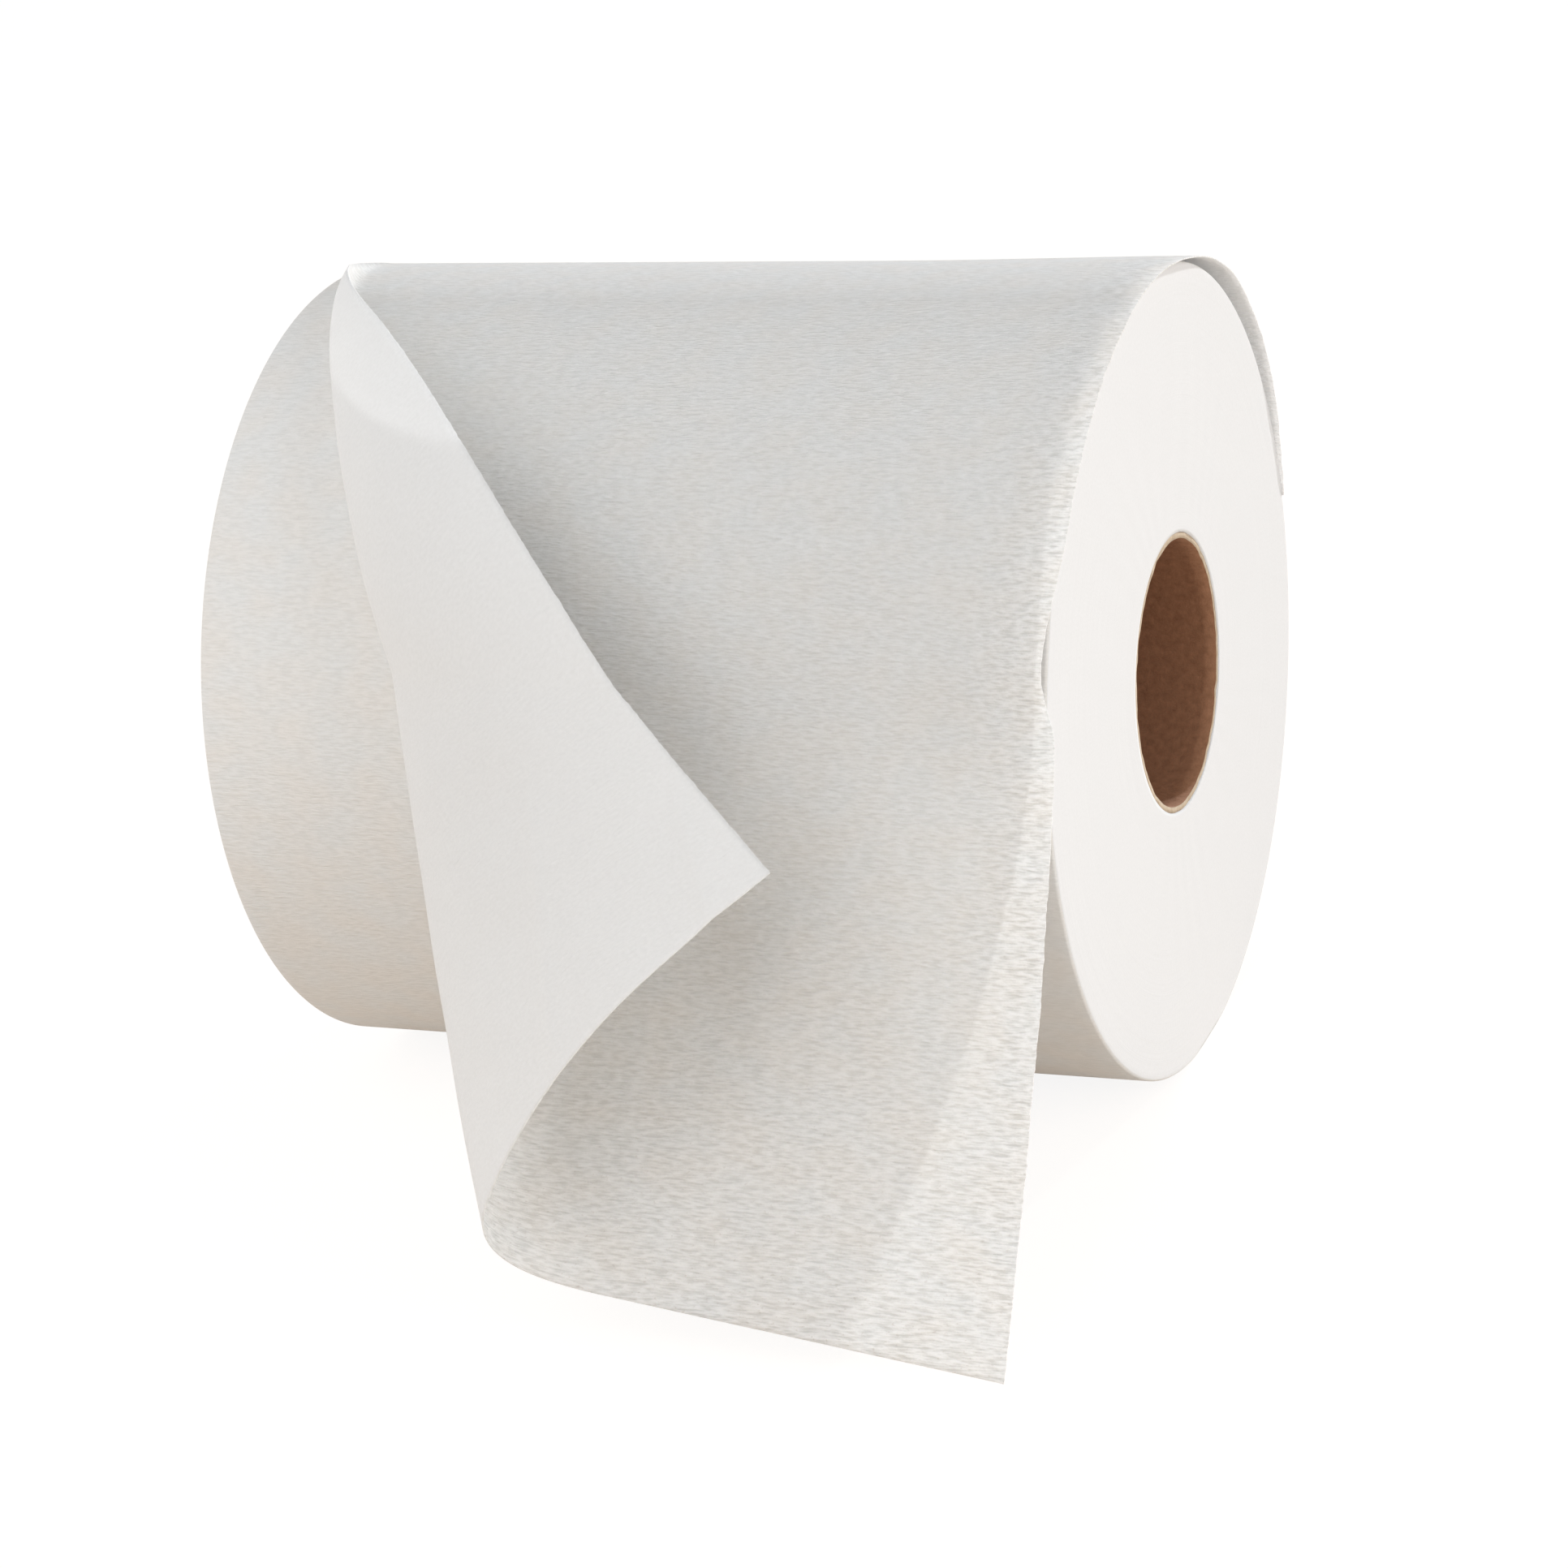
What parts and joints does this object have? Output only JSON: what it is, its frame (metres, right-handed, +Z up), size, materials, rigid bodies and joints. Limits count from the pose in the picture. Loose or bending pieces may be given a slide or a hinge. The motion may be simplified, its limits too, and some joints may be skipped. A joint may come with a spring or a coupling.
{
  "type": "paper towel roll",
  "caption": "White creped paper towel roll lying on its side, wound on an open cardboard core, its loose end hanging over the front almost to the table, with one corner folded over.",
  "frame": {"origin": "on the table, in the middle of the flat spot that the roll rests on", "axes": "+X along the roll's axis to the end that the picture shows, +Z up, the free sheet hangs down towards -Y"},
  "size_m": [0.203, 0.2626, 0.1923],
  "materials": {
    "towel_paper": "matte creped tissue, fine ridges along the roll's axis",
    "core_board": "matte brown spiral-wound board"
  },
  "bodies": {
    "root": {"paper_web": "towel_paper", "core_tube": "core_board"}
  },
  "joints": []
}
